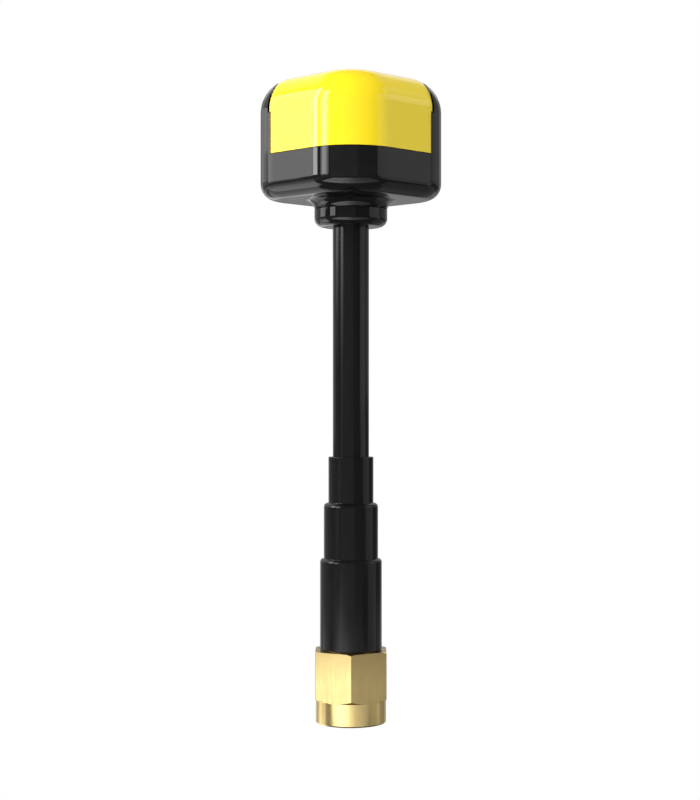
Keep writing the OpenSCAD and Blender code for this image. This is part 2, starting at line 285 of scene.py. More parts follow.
# %% Place the boxes on the right, the cards, the key and the fill
softbox("right_low", (-160, -96), (-50, -16), 0.14, away=LOW)
softbox("right_wall", (-100, -60), (-3, 28), 0.53)
softbox("right_high", (-112, -84), (14, 42), 0.6)
softbox("right_back", (-150, -100), (-2, 30), 0.17)
softbox("right_back_near", (-128, -100), (7, 13), 0.12, away=FAR + BEHIND)
softbox("right_top", (-150, -112), (34, 54), 0.33)
softbox("sleeve_right", (-106, -66), (-6, -1), 0.45, eye=STEM_EYE)
softbox("sleeve_right_low", (-106, -66), (-14, -6), 0.38, eye=STEM_EYE)
softbox("front_card", (-15, 45), (-4, 16), 0.1)
softbox("sleeve_card", (-15, 42), (-5, -1), 0.25, eye=SLEEVE_EYE)
softbox("sleeve_card_low", (-15, 42), (-12, -5), 0.1, eye=SLEEVE_EYE)
softbox("plug_gap", (72, 92), (-19, -5), 0.16, eye=PLUG_EYE)
softbox("plug_back_left", (113, 142), (-20, -8.8), 0.26, eye=PLUG_EYE)
softbox("plug_back_right", (-126, -97), (-20, -8.8), 0.05, eye=PLUG_EYE)
softbox("key", (10, 40), (25, 50), 16.9, in_gloss=False)
softbox("fill", (-40, 0), (-10, 30), 0.8, in_gloss=False)

# %% [markdown]
# Below the mouth of the plug lies a sheet of light that faces up, brightest on the left. The flats
# of the nut and every downward round show it. It is laid in strips from left to right, and each
# strip in sheets that reach out to different lines, so that its far edge fades.

# %% Lay the light sheet under the plug
TABLE_Z = -0.014
TABLE_NEAR = 0.043
TABLE_GLOW = (
    (-0.125, -0.085, 2.1), (-0.085, -0.025, 2.1), (-0.025, -0.005, 1.6), (-0.005, 0.012, 1.05),
    (0.012, 0.030, 0.72), (0.030, 0.050, 0.6), (0.050, 0.120, 0.44),
)
TABLE_LAYERS = ((0.150, 0.76, 0.0), (0.175, 0.19, 0.001), (0.066, 0.2, 0.002))
face_up = (math.radians(180), 0, 0)
for number, (left, right, glow) in enumerate(TABLE_GLOW):
    for far, share, drop in TABLE_LAYERS:
        middle = ((left + right) / 2, -(TABLE_NEAR + far) / 2, TABLE_Z - drop)
        lamp(f"table_{number + 1}", middle, face_up, right - left, far - TABLE_NEAR, glow * share)

# %% [markdown]
# A few small habits serve every piece. Only one piece is worked on at a time, its faces or edges
# are picked by where they are or which way they face, and each finished piece is shrunk to metres,
# with its place kept in its mesh, before it is handed to the body that it moves with.

# %% Helpers for picking, joining and finishing
def only(piece):
    """Leave edit mode and make this piece the one that operators act on."""
    clear_selection()
    piece.select_set(True)
    bpy.context.view_layer.objects.active = piece
    return piece


def pick(piece, kind, rule):
    """In edit mode, select the vertices, edges or faces that meet a rule, and nothing else."""
    only(piece)
    bpy.ops.object.mode_set(mode="EDIT")
    bpy.ops.mesh.select_mode(type=kind)
    bpy.ops.mesh.select_all(action="DESELECT")
    bpy.ops.object.mode_set(mode="OBJECT")
    mesh = piece.data
    places = [v.co for v in mesh.vertices]
    if kind == "FACE":
        chosen = [f for f in mesh.polygons if rule(f.center, f.normal)]
    elif kind == "EDGE":
        chosen = [e for e in mesh.edges if rule(places[e.vertices[0]], places[e.vertices[1]])]
    else:
        chosen = [v for v in mesh.vertices if rule(v.co)]
    for part in chosen:
        part.select = True
    bpy.ops.object.mode_set(mode="EDIT")
    return len(chosen)


def near(a, b, slack=0.01):
    """True where two measures agree within a hundredth of a millimetre."""
    return abs(a - b) < slack


def apply_all(piece):
    """Apply the piece's modifiers in order."""
    only(piece)
    for modifier in list(piece.modifiers):
        bpy.ops.object.modifier_apply(modifier=modifier.name)
    return piece


def combine(piece, tool, how):
    """Cut the tool piece away, keep what both share, or join it on; the tool is used up."""
    cut = piece.modifiers.new(how.lower(), "BOOLEAN")
    cut.operation = how
    cut.solver = "EXACT"
    cut.object = tool
    apply_all(piece)
    bpy.data.objects.remove(tool, do_unlink=True)
    return piece


def face_out(piece, merge=0.0005):
    """Merge doubled points and turn every face outwards."""
    only(piece)
    bpy.ops.object.mode_set(mode="EDIT")
    bpy.ops.mesh.select_all(action="SELECT")
    bpy.ops.mesh.remove_doubles(threshold=merge)
    bpy.ops.mesh.dissolve_degenerate(threshold=merge)
    bpy.ops.mesh.normals_make_consistent(inside=False)
    bpy.ops.object.mode_set(mode="OBJECT")
    return piece


def soften(piece, sharp_degrees=32):
    """Shade smooth across gentle angles, and let the large faces keep their own direction."""
    only(piece)
    bpy.ops.object.shade_smooth_by_angle(angle=math.radians(sharp_degrees))
    weighted = piece.modifiers.new("weighted", "WEIGHTED_NORMAL")
    weighted.keep_sharp = True
    weighted.weight = 60
    return apply_all(piece)


def crisp(piece, rule, width, sharp_degrees=24):
    """Break the sharp edges that meet a rule with a tiny bevel that catches the light."""
    pick(piece, "EDGE", lambda a, b: False)
    bpy.ops.mesh.edges_select_sharp(sharpness=math.radians(sharp_degrees))
    bpy.ops.object.mode_set(mode="OBJECT")
    places = [v.co for v in piece.data.vertices]
    for edge in piece.data.edges:
        ends = [places[i] for i in edge.vertices]
        edge.select = edge.select and all(rule(p) for p in ends)
    for face in piece.data.polygons:
        face.select = False
    bpy.ops.object.mode_set(mode="EDIT")
    bpy.ops.mesh.bevel(offset=width, segments=2, clamp_overlap=True)
    bpy.ops.object.mode_set(mode="OBJECT")
    return piece


def hand_over(piece, body, slot, *nodes):
    """Shrink a finished piece to metres, attach it to its body, and hide the solids it replaces;
    the slot is not used.
    """
    only(piece)
    piece.scale = (MM, MM, MM)
    bpy.ops.object.transform_apply(location=True, rotation=True, scale=True)
    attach(piece, body)
    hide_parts(*nodes)
    size = [round(s / MM, 2) for s in piece.dimensions]
    print(piece.name, "size in mm", size, "faces", len(piece.data.polygons))
    return piece


# %% [markdown]
# Most pieces of a plug and a cable are turned, in a lathe or through a round die, so they are made
# here the same way. Half of the section is drawn as a line of points, extruded one from the next,
# its corners are rounded with a vertex bevel, and the line is spun once round the axis. This gives
# exact rounds and even rings of faces, and one helper serves the whole stem.

# %% Helper for turned pieces
def outline(name, points, rounds=None, closed=True):
    """A line of points in the XZ plane, with chosen corners rounded by a radius."""
    clear_selection()
    bpy.ops.mesh.primitive_plane_add(size=0.01, location=(0, 0, 0))
    line = bpy.context.object
    line.name = name
    bpy.ops.object.mode_set(mode="EDIT")
    bpy.ops.mesh.select_mode(type="VERT")
    bpy.ops.mesh.select_all(action="SELECT")
    bpy.ops.mesh.merge(type="CENTER")
    here = points[0]
    bpy.ops.transform.translate(value=(here[0], 0, here[1]))
    for x, z in points[1:]:
        step = (x - here[0], 0, z - here[1])
        bpy.ops.mesh.extrude_region_move(TRANSFORM_OT_translate={"value": step})
        here = (x, z)
    if closed:
        ends = (points[0], points[-1])
        pick(line, "VERT", lambda p: any(near(p.x, x) and near(p.z, z) for x, z in ends))
        bpy.ops.mesh.edge_face_add()
    for (x, z), (radius, steps) in (rounds or {}).items():
        pick(line, "VERT", lambda p: near(p.x, x) and near(p.z, z))
        bpy.ops.mesh.bevel(affect="VERTICES", offset=radius, segments=steps, clamp_overlap=False)
    bpy.ops.object.mode_set(mode="OBJECT")
    return line


def turned(name, points, rounds=None, closed=True, steps=128):
    """Spin an outline once round the Z axis into a closed, turned piece."""
    piece = outline(name, points, rounds, closed)
    only(piece)
    bpy.ops.object.mode_set(mode="EDIT")
    bpy.ops.mesh.select_all(action="SELECT")
    bpy.ops.mesh.spin(steps=steps, angle=math.tau, center=(0, 0, 0), axis=(0, 0, 1))
    bpy.ops.object.mode_set(mode="OBJECT")
    return face_out(piece)


# %% [markdown]
# The head is a square block with rounded upright corners, a generous round along the top edge and a
# smaller one below. It could be swept from a profile, but a cube with three bevels says the same in
# the order in which a designer thinks of it: corners first, then the top, then the underside. The
# block is made by a helper because the same form, set in by the wall, also hollows the shells.

# %% Helper for the head's form
HEAD_W = 17.85
COLLAR_AND_NECK = 3.0
HEAD_LOW = collar_low[2] + COLLAR_AND_NECK
CORNER_R = 5.8
TOP_ROUND = 3.8
LOW_ROUND = 1.8
WALL = 1.2


def head_block(name, inset=0.0):
    """The head's outer form, or the same form set in on every side."""
    low, high, width = HEAD_LOW + inset, OVERALL - inset, HEAD_W - 2 * inset
    clear_selection()
    bpy.ops.mesh.primitive_cube_add(size=1, location=(0, 0, 0))
    block = bpy.context.object
    block.name = name
    bpy.ops.object.mode_set(mode="EDIT")
    bpy.ops.mesh.select_all(action="SELECT")
    bpy.ops.transform.resize(value=(width, width, high - low))
    bpy.ops.transform.translate(value=(0, 0, (high + low) / 2))
    pick(block, "EDGE", lambda a, b: near(a.x, b.x) and near(a.y, b.y))
    bpy.ops.mesh.bevel(offset=CORNER_R - inset, segments=20, clamp_overlap=False)
    pick(block, "EDGE", lambda a, b: near(a.z, high) and near(b.z, high))
    bpy.ops.mesh.bevel(offset=TOP_ROUND - inset, segments=14, clamp_overlap=False)
    pick(block, "EDGE", lambda a, b: near(a.z, low) and near(b.z, low))
    bpy.ops.mesh.bevel(offset=LOW_ROUND - inset, segments=10, clamp_overlap=False)
    bpy.ops.mesh.select_all(action="SELECT")
    turn = math.radians(45)
    bpy.ops.transform.rotate(value=turn, orient_axis="Z", center_override=(0, 0, 0))
    bpy.ops.object.mode_set(mode="OBJECT")
    return face_out(block)


def form_normal(p):
    """Which way the head's surface faces at a point, and how far from the surface the point is."""
    side = math.sqrt(0.5)
    spot = Vector(((p.x + p.y) * side, (p.y - p.x) * side))
    reach = HEAD_W / 2 - CORNER_R
    out = spot - Vector([max(-reach, min(reach, c)) for c in spot])
    rise = max(0.0, p.z - (OVERALL - TOP_ROUND)) / TOP_ROUND
    fall = max(0.0, HEAD_LOW + LOW_ROUND - p.z) / LOW_ROUND
    tip = min(1.0, max(rise, fall))
    level = math.sqrt(1 - tip * tip)
    radius = TOP_ROUND if rise > fall else LOW_ROUND
    off = 0.0 if tip == 1.0 else abs(out.length - CORNER_R + radius * (1 - level))
    flat = out.normalized() if out.length > 1e-6 else Vector((0, 0))
    across = Vector(((flat.x - flat.y) * side, (flat.x + flat.y) * side))
    return Vector((across.x * level, across.y * level, tip if rise > fall else -tip)), off


# %% [markdown]
# Seen from the front, the yellow cover is a saddle: straight sides, a small step outwards where the
# head starts to round over, and round shoulders above. That outline is drawn once, extruded through
# the whole head, and used twice. What it shares with the block becomes the cover, and the same
# outline grown by the width of the seam cuts the room for it out of the black tub.

# %% Helper for the saddle's outline
SIDE_X = 8.91
TOP_X = 9.05
STEP_Z = 68.5
SHOULDER_R = 5.5
SEAM_Z = HEAD_LOW + 4.85
SADDLE_REACH = 20
EAR_GAP = 0.22
SEAM_LINE = 0.08
SEAM_GAP = 0.02


def saddle(name, side_gap, top_gap, low_gap=0.0):
    """The cover's outline as a bar right through the head, grown by the three gaps."""
    side, top = SIDE_X + side_gap, TOP_X + top_gap
    crown = STEP_Z + 0.2 + SHOULDER_R + top_gap
    corner = (SHOULDER_R + top_gap, 24)
    low, step = SEAM_Z - low_gap, STEP_Z - low_gap
    points = [
        (-side, low), (side, low), (side, step), (top, step),
        (top, crown), (-top, crown), (-top, step), (-side, step),
    ]
    bar = outline(name, points, {(top, crown): corner, (-top, crown): corner})
    only(bar)
    bpy.ops.object.mode_set(mode="EDIT")
    bpy.ops.mesh.select_all(action="SELECT")
    bpy.ops.mesh.edge_face_add()
    bpy.ops.transform.translate(value=(0, -SADDLE_REACH, 0))
    bpy.ops.mesh.extrude_region_move(TRANSFORM_OT_translate={"value": (0, 2 * SADDLE_REACH, 0)})
    bpy.ops.object.mode_set(mode="OBJECT")
    return face_out(bar)


# %% [markdown]
# The cover is moulded as a thin shell, so the block is first cut to the saddle and then hollowed
# with the same block set in by the wall. A rim inside its lower edge reaches down into the tub,
# which is how such a cover finds its place before it is glued. The rim is the wall's inner layer,
# trimmed by a plain slab and rooted a little way into the wall. The edges that show are broken by a
# tiny bevel.

# %% Model the yellow cover
TONGUE_LOW = cover_low[2]
TONGUE_W = 15.62
TONGUE_T = 0.5
EDGE_BREAK = 0.05


def on_skin(p):
    """True for a point on the head's outer surface."""
    return form_normal(p)[1] < 0.01


def slab(name, low, high):
    """A block as wide as the rim between two heights, used only to trim other forms."""
    clear_selection()
    bpy.ops.mesh.primitive_cube_add(size=1, location=(0, 0, 0))
    piece = bpy.context.object
    piece.name = name
    bpy.ops.object.mode_set(mode="EDIT")
    bpy.ops.transform.resize(value=(TONGUE_W, 2 * SADDLE_REACH, high - low))
    bpy.ops.transform.translate(value=(0, 0, (high + low) / 2))
    bpy.ops.object.mode_set(mode="OBJECT")
    return piece


cover = combine(head_block("top_cover_shell"), saddle("saddle", 0, 0), "INTERSECT")
combine(cover, head_block("hollow", WALL), "DIFFERENCE")
rim = combine(head_block("rim", WALL + 0.05), slab("trim", TONGUE_LOW, SEAM_Z + 0.5), "INTERSECT")
root = combine(head_block("root", WALL - 0.1), slab("trim", SEAM_Z, SEAM_Z + 1), "INTERSECT")
combine(rim, root, "UNION")
combine(rim, head_block("hollow", WALL + TONGUE_T), "DIFFERENCE")
combine(cover, rim, "UNION")
face_out(cover)
crisp(cover, on_skin, EDGE_BREAK)
face_out(cover)
soften(cover)
print("cover faces:", len(cover.data.polygons))

# %% [markdown]
# The black tub is what is left of the block, with two ears that run up the side corners. A shallow
# groove parts each ear from the cover's shoulder: the wider saddle cuts it, but only in the
# outermost skin of the head, so that no light comes through it. The tub's short neck is as wide as
# the collar and flares out into the underside in a cove. It is a turned ring, joined on, and a bore
# takes the collar's spigot. Four posts inside carry the lower circuit board.

# %% Model the black tub
GROOVE_DEEP = 0.7
NECK_R = 4.1
NECK_LOW = base_low[2]
NECK_TOP = HEAD_LOW + 1.7
NECK_BORE = 2.5
BOSS_R = 4.2
IN_FLOOR = HEAD_LOW + 0.6
COVE_R = 1.3
COVE_REACH = 1.27
COVE_STEPS = 12
BORE_R = 3.03
BORE_LOW = 40
BORE_HIGH = 70
POST_R = 0.6
POST_RING_R = 4.9
POST_LOW = HEAD_LOW + 0.5
POST_HIGH = HEAD_LOW + 2.8


def cove_arc():
    """Points along the cove, from the neck's lower edge up to the underside."""
    centre = (NECK_R + COVE_REACH, HEAD_LOW - COVE_R + 0.02)
    start = math.acos(-math.sqrt(COVE_R**2 - (NECK_LOW - centre[1])**2) / COVE_R)
    arc = []
    for step in range(COVE_STEPS + 1):
        angle = start + (math.pi / 2 - start) * step / COVE_STEPS
        arc.append((centre[0] + COVE_R * math.cos(angle), centre[1] + COVE_R * math.sin(angle)))
    return [spot for spot in arc if spot[0] > NECK_R]


tub = combine(head_block("base_shell_tub"), head_block("hollow", WALL), "DIFFERENCE")
combine(tub, saddle("saddle", SEAM_GAP, SEAM_GAP), "DIFFERENCE")
grooves = saddle("grooves", SEAM_LINE, EAR_GAP, SEAM_LINE)
combine(grooves, head_block("core", GROOVE_DEEP), "DIFFERENCE")
combine(tub, grooves, "DIFFERENCE")
neck = turned("cove", [
    (NECK_BORE, NECK_TOP), (NECK_BORE, NECK_LOW), (NECK_R, NECK_LOW), *cove_arc(),
    (NECK_R + COVE_REACH, IN_FLOOR), (BOSS_R, IN_FLOOR), (BOSS_R, NECK_TOP),
])
combine(tub, neck, "UNION")
bore = turned("bore", [
    (0, BORE_LOW), (BORE_R, BORE_LOW), (BORE_R, BORE_HIGH), (0, BORE_HIGH),
], closed=False)
combine(tub, bore, "DIFFERENCE")
for corner in range(4):
    post = turned("post", [
        (0, POST_LOW), (POST_R, POST_LOW), (POST_R, POST_HIGH), (0, POST_HIGH),
    ], closed=False, steps=24)
    angle = math.radians(90 * corner)
    place = (POST_RING_R * math.cos(angle), POST_RING_R * math.sin(angle), 0)
    only(post)
    bpy.ops.object.mode_set(mode="EDIT")
    bpy.ops.mesh.select_all(action="SELECT")
    bpy.ops.transform.translate(value=place)
    bpy.ops.object.mode_set(mode="OBJECT")
    combine(tub, post, "UNION")
face_out(tub)
soften(tub)
print("tub faces:", len(tub.data.polygons))

# %% [markdown]
# Where a boolean cuts through a smooth surface it leaves long thin faces, and their averaged
# normals bend the straight reflections on the gloss. The head's form is known exactly, so each
# corner of its outer faces can be told which way the true surface points: away from the nearest
# corner's centre line on the sides, and tipped up or down where the head rounds over.

# %% Straighten the reflections on the head
NEAR_SKIN = 0.03
ON_SKIN = 0.01
SAME_WAY = 0.97


def straighten(piece):
    """Give the outer faces of a head piece the exact normals of the head's form."""
    mesh = piece.data
    normals = [corner.vector.copy() for corner in mesh.corner_normals]
    changed = 0
    for face in mesh.polygons:
        true, off = form_normal(face.center)
        if off > NEAR_SKIN or true.dot(face.normal) < SAME_WAY:
            continue
        for loop in face.loop_indices:
            true, off = form_normal(mesh.vertices[mesh.loops[loop].vertex_index].co)
            if off < ON_SKIN:
                normals[loop] = true
                changed += 1
    mesh.normals_split_custom_set(normals)
    print(piece.name, "corners set to the true form:", changed, "of", len(normals))


straighten(cover)
straighten(tub)
hand_over(cover, "antenna", "cover_plastic", "top_cover")
hand_over(tub, "antenna", "shell_plastic", "base_shell")

# %% [markdown]
# Under the head sits a round collar, turned with a wide round below and a tiny one above, so that
# its lower half rolls in towards the stem. Its spigot goes up through the tub's bore and grips the
# cable.

# %% Turn the collar
STEM_R = 2.05
COLLAR_R = collar_high[0]
COLLAR_LOW = collar_low[2]
COLLAR_TOP = NECK_LOW
SPIGOT_R = 3.0
SPIGOT_TOP = collar_high[2]

collar = turned("neck_collar_turned", [
    (STEM_R, COLLAR_LOW), (COLLAR_R, COLLAR_LOW), (COLLAR_R, COLLAR_TOP),
    (SPIGOT_R, COLLAR_TOP), (SPIGOT_R, SPIGOT_TOP), (STEM_R, SPIGOT_TOP),
], {(COLLAR_R, COLLAR_LOW): (0.95, 12), (COLLAR_R, COLLAR_TOP): (0.1, 4)})
soften(collar)
hand_over(collar, "antenna", "shell_plastic", "neck_collar")

# %% [markdown]
# The stem is a stiff coaxial cable in a smooth jacket drawn through a die. The stepped sleeve is
# one length of tube shrunk over a crimped ferrule and a shorter liner, so it steps in twice, with
# soft shoulders and small hollows where the heated tube was pulled in, and its upper end is cut
# square.

# %% Turn the jacket and the shrunk sleeve
jacket_low, jacket_high = box_mm("cable_jacket")
sleeve_low, sleeve_high = box_mm("strain_sleeve")
BRAID_R = 1.79
FERRULE_R = 2.95
LINER_R = 2.575
STEPS = ((3.5, 18.5), (3.075, 24.8), (2.55, sleeve_high[2]))
TUBE_T = 0.5

jacket = turned("cable_jacket_drawn", [
    (BRAID_R, jacket_low[2]), (STEM_R, jacket_low[2]),
    (STEM_R, jacket_high[2]), (BRAID_R, jacket_high[2]),
], steps=96)
soften(jacket)
hand_over(jacket, "antenna", "cable_sheath", "cable_jacket")

(low_r, low_top), (mid_r, mid_top), (end_r, end_top) = STEPS
sleeve = turned("strain_sleeve_shrunk", [
    (FERRULE_R, sleeve_low[2]), (low_r, sleeve_low[2]), (low_r, low_top), (mid_r, low_top),
    (mid_r, mid_top), (end_r, mid_top), (end_r, end_top), (STEM_R, end_top),
    (STEM_R, mid_top - TUBE_T), (LINER_R, mid_top - TUBE_T),
    (LINER_R, low_top - TUBE_T), (FERRULE_R, low_top - TUBE_T),
], {
    (low_r, sleeve_low[2]): (0.08, 3),
    (low_r, low_top): (0.38, 8),
    (mid_r, low_top): (0.06, 4),
    (mid_r, mid_top): (0.48, 8),
    (end_r, mid_top): (0.08, 4),
    (end_r, end_top): (0.06, 3),
})
soften(sleeve, sharp_degrees=40)
hand_over(sleeve, "antenna", "shrink_sleeve", "strain_sleeve")

# %% [markdown]
# The plug's body is one turned brass piece under gold. What shows through the nut's mouth is its
# thin outer contact, the white bead, the pin and, further back, the soft ring that seals against
# the jack. Each is turned to the solid's own steps, with the tiny rounds that a cutting tool
# leaves.

# %% Turn the plug's body, bead, pin and gasket
REF_Z = 3.3
SHAFT_Z = 6.91
BEAD_R = 2.05
BEAD_TOP = 7.4
CONTACT_R = 2.29
SEAT_R = 2.5
SHAFT_R = 2.95
TAIL_R = 2.35
PIN_R = 0.46
SOCKET_R = 0.64

body = turned("connector_body_turned", [
    (BEAD_R, REF_Z), (CONTACT_R, REF_Z), (CONTACT_R, 5.25), (SEAT_R, 5.25), (SEAT_R, 5.7),
    (2.78, 5.7), (2.78, 6.17), (SEAT_R, 6.17), (SEAT_R, SHAFT_Z), (SHAFT_R, SHAFT_Z),
    (SHAFT_R, 8.6), (TAIL_R, 8.6), (TAIL_R, 13.0), (1.81, 13.0), (1.81, 8.8), (1.49, 8.8),
    (1.49, BEAD_TOP), (BEAD_R, BEAD_TOP),
], {
    (CONTACT_R, REF_Z): (0.08, 3),
    (BEAD_R, REF_Z): (0.04, 2),
    (2.78, 5.7): (0.05, 2),
    (SHAFT_R, 8.6): (0.08, 2),
}, steps=96)
soften(body)
hand_over(body, "antenna", "gold_plate", "connector_body")

bead = turned("connector_insulator_turned", [
    (SOCKET_R, REF_Z), (BEAD_R, REF_Z), (BEAD_R, BEAD_TOP), (SOCKET_R, BEAD_TOP),
], {(BEAD_R, REF_Z): (0.05, 2), (SOCKET_R, REF_Z): (0.04, 2)}, steps=96)
soften(bead)
hand_over(bead, "antenna", "ptfe", "connector_insulator")

pin = turned("centre_pin_turned", [
    (0, 1.0), (PIN_R, 1.0), (PIN_R, REF_Z), (SOCKET_R, REF_Z), (SOCKET_R, BEAD_TOP),
    (PIN_R, BEAD_TOP), (PIN_R, 5.2), (0, 5.2),
], {(PIN_R, 1.0): (0.24, 8)}, closed=False, steps=64)
soften(pin, sharp_degrees=40)
hand_over(pin, "antenna", "gold_plate", "centre_pin")

seal = turned("gasket_moulded", [
    (SEAT_R, 5.1), (SHAFT_R, 5.1), (SHAFT_R, 5.7), (SEAT_R, 5.7),
], {(SHAFT_R, 5.1): (0.15, 5), (SHAFT_R, 5.7): (0.12, 4), (SEAT_R, 5.1): (0.08, 3)}, steps=96)
soften(seal, sharp_degrees=40)
hand_over(seal, "antenna", "silicone", "gasket")

# %% [markdown]
# The coupling nut starts in the lathe too. Its whole section, hollow included, is spun first, with
# the skirt and both shallow cones. Then it is cut to a hexagon by keeping what it shares with a
# six-sided bar, which leaves the curved edges where flats and cones meet, exactly as on real bar
# stock. The bar's upright edges are broken before the cut, so that they catch a thin line of light.

# %% Turn the nut and cut its flats
NUT_H = nut_high[2]
FLATS = nut_high[0] - nut_low[0]
SKIRT_R = 3.98
SKIRT_H = 2.6
CORNER_X = FLATS / 2 / math.cos(math.radians(30))
TOP_CONE_R = CORNER_X - 0.24
LOW_CONE_R = FLATS / 2 + 0.02
REACH_R = CORNER_X + 0.2
SLOPE = math.tan(math.radians(30))
MOUTH_R = 3.2
THREAD_R = 2.85
REAR_BORE = 3.03
RING_GROOVE_R = 3.38
BAR_BREAK = 0.09

nut = turned("coupling_nut_turned", [
    (MOUTH_R, 0), (SKIRT_R, 0), (SKIRT_R, SKIRT_H), (LOW_CONE_R, SKIRT_H),
    (REACH_R, SKIRT_H + (REACH_R - LOW_CONE_R) * SLOPE),
    (REACH_R, NUT_H - (REACH_R - TOP_CONE_R) * SLOPE),
    (TOP_CONE_R, NUT_H), (REAR_BORE, NUT_H), (REAR_BORE, SHAFT_Z),
    (RING_GROOVE_R, SHAFT_Z), (RING_GROOVE_R, 6.47), (3.0, 6.47), (3.0, 6.1),
    (MOUTH_R, 6.1), (MOUTH_R, 4.9), (THREAD_R, 4.9), (THREAD_R, 0.35),
], {(SKIRT_R, 0): (0.18, 6), (REAR_BORE, NUT_H): (0.12, 3)}, steps=144)

clear_selection()
bpy.ops.mesh.primitive_cylinder_add(vertices=6, radius=CORNER_X, depth=12, location=(0, 0, 4))
bar = bpy.context.object
bar.name = "hex_bar"
bpy.ops.object.transform_apply(location=True, rotation=True, scale=True)
pick(bar, "EDGE", lambda a, b: near(a.x, b.x) and near(a.y, b.y))
bpy.ops.mesh.bevel(offset=BAR_BREAK, segments=3, clamp_overlap=False)
bpy.ops.object.mode_set(mode="OBJECT")
combine(nut, bar, "INTERSECT")
face_out(nut)
print("nut faces after the flats:", len(nut.data.polygons))

# %% [markdown]
# The jack's thread has 36 turns to the inch. A real groove is a helix, so the cutter is a small
# triangle swept round and upwards with the Screw modifier, closed at both ends, and taken out of
# the nut's bore. It climbs anticlockwise seen from above, which makes the thread right-handed. At
# the end the sharp edges of the hexagon are broken, but neither the skirt nor the thread.

# %% Cut the thread
PITCH = 25.4 / 36
ROOT_R = 3.17
CREST_R = THREAD_R - 0.06
FIRST_Z = 0.55
TURNS = 6
STEPS_A_TURN = 72
FLATS_FROM_R = 3.9
NUT_BREAK = 0.03
half = (ROOT_R - CREST_R) * SLOPE
tooth = outline("groove", [(CREST_R, FIRST_Z - half), (ROOT_R, FIRST_Z), (CREST_R, FIRST_Z + half)])
sweep = tooth.modifiers.new("sweep", "SCREW")
sweep.angle = math.tau
sweep.iterations = TURNS
sweep.screw_offset = PITCH
sweep.steps = STEPS_A_TURN
sweep.render_steps = STEPS_A_TURN
sweep.use_merge_vertices = False
apply_all(tooth)
bpy.ops.object.mode_set(mode="EDIT")
bpy.ops.mesh.select_all(action="SELECT")
bpy.ops.mesh.fill_holes(sides=3)
bpy.ops.object.mode_set(mode="OBJECT")
face_out(tooth)
combine(nut, tooth, "DIFFERENCE")
face_out(nut)
print("nut faces after the thread:", len(nut.data.polygons))
crisp(nut, lambda p: math.hypot(p.x, p.y) > FLATS_FROM_R and p.z > SKIRT_H + 0.01, NUT_BREAK)
face_out(nut)
soften(nut, sharp_degrees=24)
hand_over(nut, "nut", "gold_plate", "coupling_nut")

# %% [markdown]
# The finishes come next. Every one reads the piece's own place in space, scaled to millimetres, so
# a pattern keeps its real size on each piece and stays put when the piece moves. The helper sets
# the constant values on the shader itself, and hands back what the patterns are wired to.

# %% Helpers for finishes
class Finish:
    """A material under construction, with short ways to add patterns in millimetres."""

    def __init__(self, name, roughness, metallic=0.0, ior=1.5, stretch=(1, 1, 1)):
        self.material = bpy.data.materials.new(name)
        self.material.use_nodes = True
        self.tree = self.material.node_tree
        self.shader = self.tree.nodes["Principled BSDF"]
        self.shader.inputs["Roughness"].default_value = roughness
        self.shader.inputs["Metallic"].default_value = metallic
        self.shader.inputs["IOR"].default_value = ior
        self.place = self.tree.nodes.new("ShaderNodeTexCoord").outputs["Object"]
        self.mm = self.mapped((1, 1, 1))
        self.stretched = self.mapped(stretch)

    def mapped(self, stretch):
        """The piece's own place in millimetres, stretched along each axis."""
        node = self.tree.nodes.new("ShaderNodeMapping")
        node.inputs["Scale"].default_value = [s / MM for s in stretch]
        self.tree.links.new(self.place, node.inputs["Vector"])
        return node.outputs["Vector"]

    def noise(self, per_mm, detail=2.0, along=None):
        """Cloudy noise with so many lumps to a millimetre."""
        node = self.tree.nodes.new("ShaderNodeTexNoise")
        node.inputs["Scale"].default_value = per_mm
        node.inputs["Detail"].default_value = detail
        self.tree.links.new(along or self.mm, node.inputs["Vector"])
        return node.outputs["Fac"]

    def spread(self, value, low, high, start=0.3, end=0.7):
        """Spread a pattern's values between a low and a high."""
        node = self.tree.nodes.new("ShaderNodeMapRange")
        node.inputs["From Min"].default_value = start
        node.inputs["From Max"].default_value = end
        node.inputs["To Min"].default_value = low
        node.inputs["To Max"].default_value = high
        self.tree.links.new(value, node.inputs["Value"])
        return node.outputs["Result"]

    def sum(self, first, second, how="ADD"):
        """Add two patterns or numbers, or join them by another kind of sum."""
        node = self.tree.nodes.new("ShaderNodeMath")
        node.operation = how
        for socket, value in zip(node.inputs, (first, second)):
            if isinstance(value, (int, float)):
                socket.default_value = value
            else:
                self.tree.links.new(value, socket)
        return node.outputs[0]

    def colours(self, value, one, other):
        """Blend two colours by a pattern."""
        node = self.tree.nodes.new("ShaderNodeMix")
        node.data_type = "RGBA"
        ends = [socket for socket in node.inputs if socket.type == "RGBA"]
        ends[0].default_value = (*one, 1)
        ends[1].default_value = (*other, 1)
        self.tree.links.new(value, node.inputs["Factor"])
        blend = [socket for socket in node.outputs if socket.type == "RGBA"][0]
        self.tree.links.new(blend, self.shader.inputs["Base Color"])

    def roughness(self, value):
        """Let a pattern set the roughness."""
        self.tree.links.new(value, self.shader.inputs["Roughness"])

    def bump(self, value, strength, depth_mm):
        """Let a pattern raise and lower the surface."""
        node = self.tree.nodes.new("ShaderNodeBump")
        node.inputs["Strength"].default_value = strength
        node.inputs["Distance"].default_value = depth_mm * MM
        self.tree.links.new(value, node.inputs["Height"])
        self.tree.links.new(node.outputs["Normal"], self.shader.inputs["Normal"])

    def radius(self):
        """Distance from the antenna's axis, in millimetres."""
        split = self.tree.nodes.new("ShaderNodeSeparateXYZ")
        self.tree.links.new(self.mm, split.inputs[0])
        squares = [self.sum(split.outputs[i], split.outputs[i], "MULTIPLY") for i in (0, 1)]
        return self.sum(self.sum(*squares), 0.5, "POWER")


